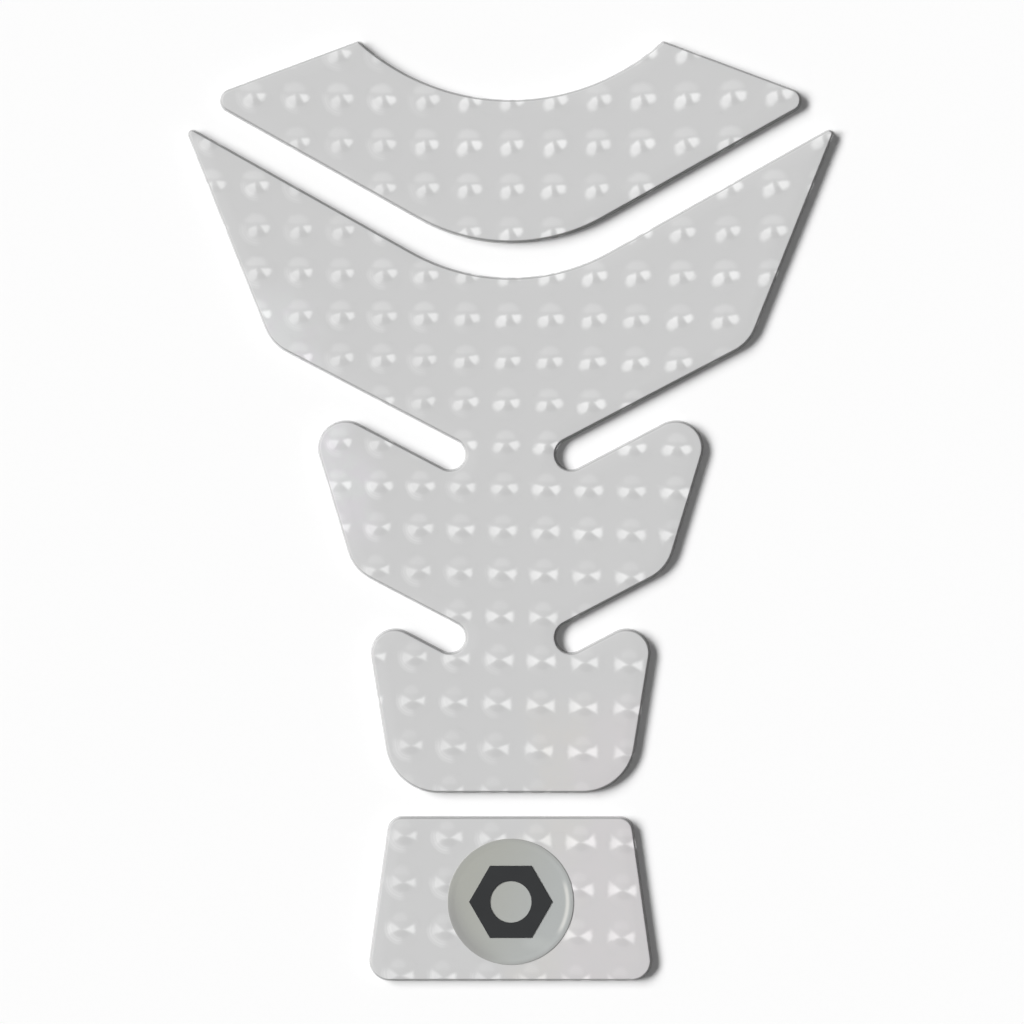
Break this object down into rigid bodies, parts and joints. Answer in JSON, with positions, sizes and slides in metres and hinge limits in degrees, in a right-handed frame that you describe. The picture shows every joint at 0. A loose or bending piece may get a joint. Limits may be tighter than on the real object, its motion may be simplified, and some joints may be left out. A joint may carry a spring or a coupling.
{
  "type": "motorcycle tank pad",
  "caption": "Domed self-adhesive tank pad set with an engine-turned silver film: a yoke round the filler cap, a slotted spine and a tail pad with a round badge.",
  "frame": {"origin": "middle of the set's box, on the adhesive face", "axes": "+X to the right, +Y along the tank towards the filler cap, +Z out of the face, away from the tank"},
  "size_m": [0.1434, 0.2086, 0.0023],
  "materials": {
    "pad_film": "clear domed resin over a silver-grey engine-turned film",
    "badge_face": "grey satin print under clear resin, sunk inside a raised lip",
    "emblem_print": "charcoal print under gloss"
  },
  "bodies": {
    "root": {"upper_pad": "pad_film", "main_pad": "pad_film", "lower_pad": "pad_film", "badge": "badge_face", "badge_emblem": "emblem_print"}
  },
  "joints": []
}
